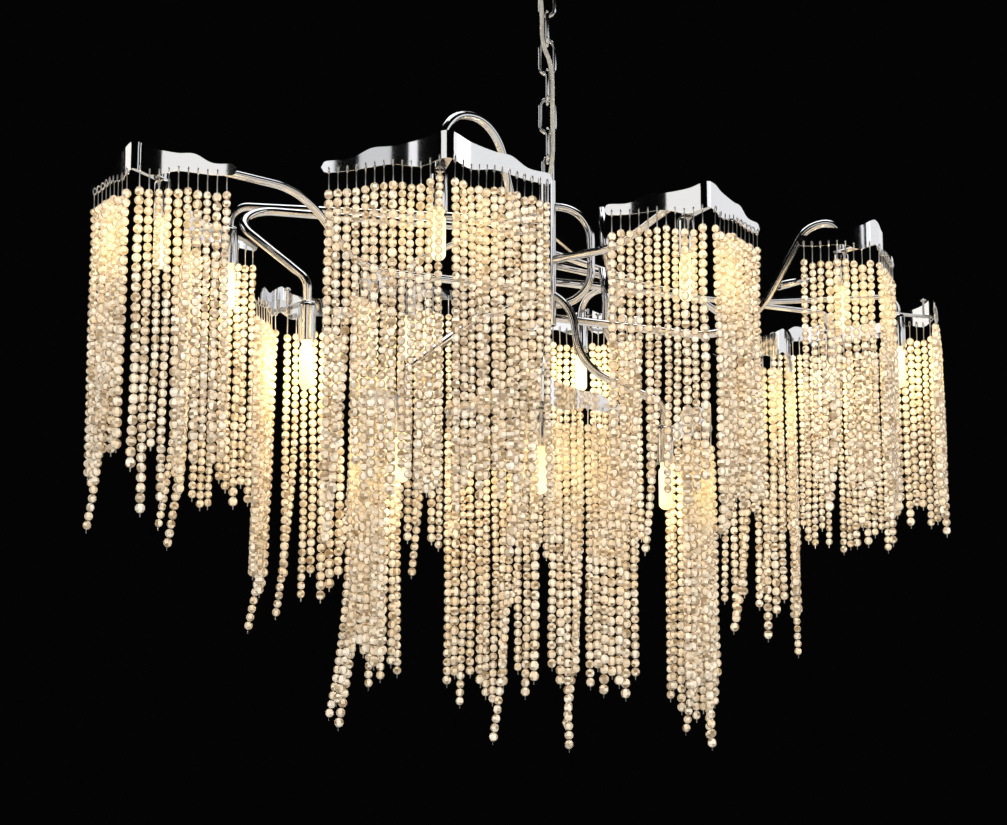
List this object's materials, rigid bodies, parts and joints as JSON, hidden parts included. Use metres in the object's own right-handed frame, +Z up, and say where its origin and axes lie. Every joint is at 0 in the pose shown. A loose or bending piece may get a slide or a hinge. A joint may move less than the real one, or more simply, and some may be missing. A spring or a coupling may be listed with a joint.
{
  "type": "crystal chandelier",
  "caption": "Long crystal chandelier on a link chain: bent chrome branches carry V-shaped steel ribbons hung with strands of crystal beads round small lamps",
  "frame": {"origin": "centre of the ceiling bracket's upper face, on the ceiling over the chain", "axes": "+Z up; +X along the long axis of the fixture's oval plan; +Y across it"},
  "size_m": [1.2338, 0.6127, 1.0396],
  "materials": {
    "chrome_steel": "polished chrome plate on steel tube and wire",
    "polished_steel": "mirror-polished thin steel strip",
    "zinc_steel": "zinc-plated pressed steel",
    "white_plastic": "moulded white terminal block",
    "clear_cord": "translucent grey sheath",
    "socket_ceramic": "white ceramic lamp socket",
    "lit_glass": "frosted lamp glass, lit",
    "cut_crystal": "faceted clear glass beads on wire"
  },
  "bodies": {
    "root": {"ceiling_bracket": "zinc_steel", "bracket_fasteners": "zinc_steel", "ceiling_canopy": "chrome_steel", "ceiling_loop": "chrome_steel", "terminal_block": "white_plastic"},
    "first_link": {"top_link": "chrome_steel"},
    "fixture": {"suspension_chain": "chrome_steel", "power_cord": "clear_cord", "stem_tube": "chrome_steel", "stem_loop": "chrome_steel", "upper_branches": "chrome_steel", "lower_branches": "chrome_steel", "twig_tubes": "chrome_steel", "lampholders": "chrome_steel", "lamp_sockets": "socket_ceramic", "shade_straps": "chrome_steel", "knob_screws": "chrome_steel", "bulbs": "lit_glass", "ribbon_a": "polished_steel", "ribbon_b": "polished_steel", "ribbon_c": "polished_steel", "ribbon_d": "polished_steel", "ribbon_e": "polished_steel", "ribbon_f": "polished_steel", "ribbon_g": "polished_steel", "ribbon_h": "polished_steel", "ribbon_i": "polished_steel", "ribbon_j": "polished_steel", "ribbon_k": "polished_steel", "ribbon_l": "polished_steel", "ribbon_m": "polished_steel", "ribbon_n": "polished_steel"},
    "curtain_a_left": {"strands_a_left": "cut_crystal"},
    "curtain_a_right": {"strands_a_right": "cut_crystal"},
    "curtain_b_left": {"strands_b_left": "cut_crystal"},
    "curtain_b_right": {"strands_b_right": "cut_crystal"},
    "curtain_c_left": {"strands_c_left": "cut_crystal"},
    "curtain_c_right": {"strands_c_right": "cut_crystal"},
    "curtain_d_left": {"strands_d_left": "cut_crystal"},
    "curtain_d_right": {"strands_d_right": "cut_crystal"},
    "curtain_e_left": {"strands_e_left": "cut_crystal"},
    "curtain_e_right": {"strands_e_right": "cut_crystal"},
    "curtain_f_left": {"strands_f_left": "cut_crystal"},
    "curtain_f_right": {"strands_f_right": "cut_crystal"},
    "curtain_g_left": {"strands_g_left": "cut_crystal"},
    "curtain_g_right": {"strands_g_right": "cut_crystal"},
    "curtain_h_left": {"strands_h_left": "cut_crystal"},
    "curtain_h_right": {"strands_h_right": "cut_crystal"},
    "curtain_i_left": {"strands_i_left": "cut_crystal"},
    "curtain_i_right": {"strands_i_right": "cut_crystal"},
    "curtain_j_left": {"strands_j_left": "cut_crystal"},
    "curtain_j_right": {"strands_j_right": "cut_crystal"},
    "curtain_k_left": {"strands_k_left": "cut_crystal"},
    "curtain_k_right": {"strands_k_right": "cut_crystal"},
    "curtain_l_left": {"strands_l_left": "cut_crystal"},
    "curtain_l_right": {"strands_l_right": "cut_crystal"},
    "curtain_m_left": {"strands_m_left": "cut_crystal"},
    "curtain_m_right": {"strands_m_right": "cut_crystal"},
    "curtain_n_left": {"strands_n_left": "cut_crystal"},
    "curtain_n_right": {"strands_n_right": "cut_crystal"}
  },
  "joints": [
    {"name": "chain_swing_side", "type": "hinge", "parent": "root", "child": "first_link", "pos_m": [0, 0, -0.0825], "axis": [0.682, 0.7314, 0], "range_deg": [-2.5, 2.5]},
    {"name": "chain_swing_front", "type": "hinge", "parent": "first_link", "child": "fixture", "pos_m": [0, 0, -0.1202], "axis": [0.7314, -0.682, 0], "range_deg": [-2.5, 2.5]},
    {"name": "sway_a_left", "type": "hinge", "parent": "fixture", "child": "curtain_a_left", "pos_m": [-0.55408, 0.12031, -0.417], "axis": [0.1564, 0.9877, 0], "range_deg": [-0.8, 2.5]},
    {"name": "sway_a_right", "type": "hinge", "parent": "fixture", "child": "curtain_a_right", "pos_m": [-0.51559, 0.0256, -0.417], "axis": [-0.7771, 0.6293, 0], "range_deg": [-0.8, 2.5]},
    {"name": "sway_b_left", "type": "hinge", "parent": "fixture", "child": "curtain_b_left", "pos_m": [-0.30417, 0.24427, -0.417], "axis": [0.9925, -0.1219, 0], "range_deg": [-0.7, 2.5]},
    {"name": "sway_b_right", "type": "hinge", "parent": "fixture", "child": "curtain_b_right", "pos_m": [-0.38909, 0.20467, -0.417], "axis": [0.5446, 0.8387, 0], "range_deg": [-0.7, 2.5]},
    {"name": "sway_c_left", "type": "hinge", "parent": "fixture", "child": "curtain_c_left", "pos_m": [-0.27064, 0.0953, -0.526], "axis": [0.7314, -0.682, 0], "range_deg": [-0.5, 2.5]},
    {"name": "sway_c_right", "type": "hinge", "parent": "fixture", "child": "curtain_c_right", "pos_m": [-0.35737, 0.0963, -0.526], "axis": [0.7986, 0.6018, 0], "range_deg": [-0.5, 2.5]},
    {"name": "sway_d_left", "type": "hinge", "parent": "fixture", "child": "curtain_d_left", "pos_m": [-0.36905, -0.12551, -0.413], "axis": [-0.5299, 0.848, 0], "range_deg": [-0.8, 2.5]},
    {"name": "sway_d_right", "type": "hinge", "parent": "fixture", "child": "curtain_d_right", "pos_m": [-0.25772, -0.1956, -0.413], "axis": [-0.9945, 0.1045, 0], "range_deg": [-0.8, 2.5]},
    {"name": "sway_e_left", "type": "hinge", "parent": "fixture", "child": "curtain_e_left", "pos_m": [-0.2285, 0.03766, -0.636], "axis": [0.9903, 0.1392, 0], "range_deg": [-0.7, 2.5]},
    {"name": "sway_e_right", "type": "hinge", "parent": "fixture", "child": "curtain_e_right", "pos_m": [-0.29631, -0.0234, -0.636], "axis": [0.2419, 0.9703, 0], "range_deg": [-0.7, 2.5]},
    {"name": "sway_f_left", "type": "hinge", "parent": "fixture", "child": "curtain_f_left", "pos_m": [-0.12547, -0.03175, -0.635], "axis": [-0.3256, 0.9455, 0], "range_deg": [-0.8, 2.5]},
    {"name": "sway_f_right", "type": "hinge", "parent": "fixture", "child": "curtain_f_right", "pos_m": [-0.03526, -0.11017, -0.635], "axis": [-0.9816, 0.1908, 0], "range_deg": [-0.8, 2.5]},
    {"name": "sway_g_left", "type": "hinge", "parent": "fixture", "child": "curtain_g_left", "pos_m": [0.07466, -0.17001, -0.646], "axis": [-0.9511, -0.309, 0], "range_deg": [-0.7, 2.5]},
    {"name": "sway_g_right", "type": "hinge", "parent": "fixture", "child": "curtain_g_right", "pos_m": [0.13084, -0.0981, -0.646], "axis": [-0.0698, -0.9976, 0], "range_deg": [-0.7, 2.5]},
    {"name": "sway_h_left", "type": "hinge", "parent": "fixture", "child": "curtain_h_left", "pos_m": [-0.0339, -0.20787, -0.417], "axis": [-0.6428, 0.766, 0], "range_deg": [-0.7, 2.5]},
    {"name": "sway_h_right", "type": "hinge", "parent": "fixture", "child": "curtain_h_right", "pos_m": [0.07231, -0.24322, -0.417], "axis": [-0.9703, -0.2419, 0], "range_deg": [-0.7, 2.5]},
    {"name": "sway_i_left", "type": "hinge", "parent": "fixture", "child": "curtain_i_left", "pos_m": [0.3629, 0.23497, -0.419], "axis": [0.0872, -0.9962, 0], "range_deg": [-0.7, 2.5]},
    {"name": "sway_i_right", "type": "hinge", "parent": "fixture", "child": "curtain_i_right", "pos_m": [0.30549, 0.31116, -0.419], "axis": [0.9336, -0.3584, 0], "range_deg": [-0.7, 2.5]},
    {"name": "sway_j_left", "type": "hinge", "parent": "fixture", "child": "curtain_j_left", "pos_m": [0.32162, -0.02855, -0.503], "axis": [-0.7314, 0.682, 0], "range_deg": [-0.5, 2.5]},
    {"name": "sway_j_right", "type": "hinge", "parent": "fixture", "child": "curtain_j_right", "pos_m": [0.40798, -0.03661, -0.503], "axis": [-0.7986, -0.6018, 0], "range_deg": [-0.5, 2.5]},
    {"name": "sway_k_left", "type": "hinge", "parent": "fixture", "child": "curtain_k_left", "pos_m": [0.23586, -0.25304, -0.417], "axis": [-0.8387, 0.5446, 0], "range_deg": [-0.8, 2.5]},
    {"name": "sway_k_right", "type": "hinge", "parent": "fixture", "child": "curtain_k_right", "pos_m": [0.33012, -0.25848, -0.417], "axis": [-0.891, -0.454, 0], "range_deg": [-0.8, 2.5]},
    {"name": "sway_l_left", "type": "hinge", "parent": "fixture", "child": "curtain_l_left", "pos_m": [0.65958, 0.03739, -0.423], "axis": [0.1219, -0.9925, 0], "range_deg": [-0.8, 2.5]},
    {"name": "sway_l_right", "type": "hinge", "parent": "fixture", "child": "curtain_l_right", "pos_m": [0.60328, 0.1121, -0.423], "axis": [0.9205, -0.3907, 0], "range_deg": [-0.8, 2.5]},
    {"name": "sway_m_left", "type": "hinge", "parent": "fixture", "child": "curtain_m_left", "pos_m": [0.55897, -0.16183, -0.435], "axis": [-0.8192, -0.5736, 0], "range_deg": [-0.8, 2.5]},
    {"name": "sway_m_right", "type": "hinge", "parent": "fixture", "child": "curtain_m_right", "pos_m": [0.59459, -0.07792, -0.435], "axis": [0.1564, -0.9877, 0], "range_deg": [-0.8, 2.5]},
    {"name": "sway_n_left", "type": "hinge", "parent": "fixture", "child": "curtain_n_left", "pos_m": [0.05194, 0.28754, -0.417], "axis": [0.848, -0.5299, 0], "range_deg": [-0.7, 2.5]},
    {"name": "sway_n_right", "type": "hinge", "parent": "fixture", "child": "curtain_n_right", "pos_m": [-0.05194, 0.28754, -0.417], "axis": [0.848, 0.5299, 0], "range_deg": [-0.7, 2.5]}
  ]
}
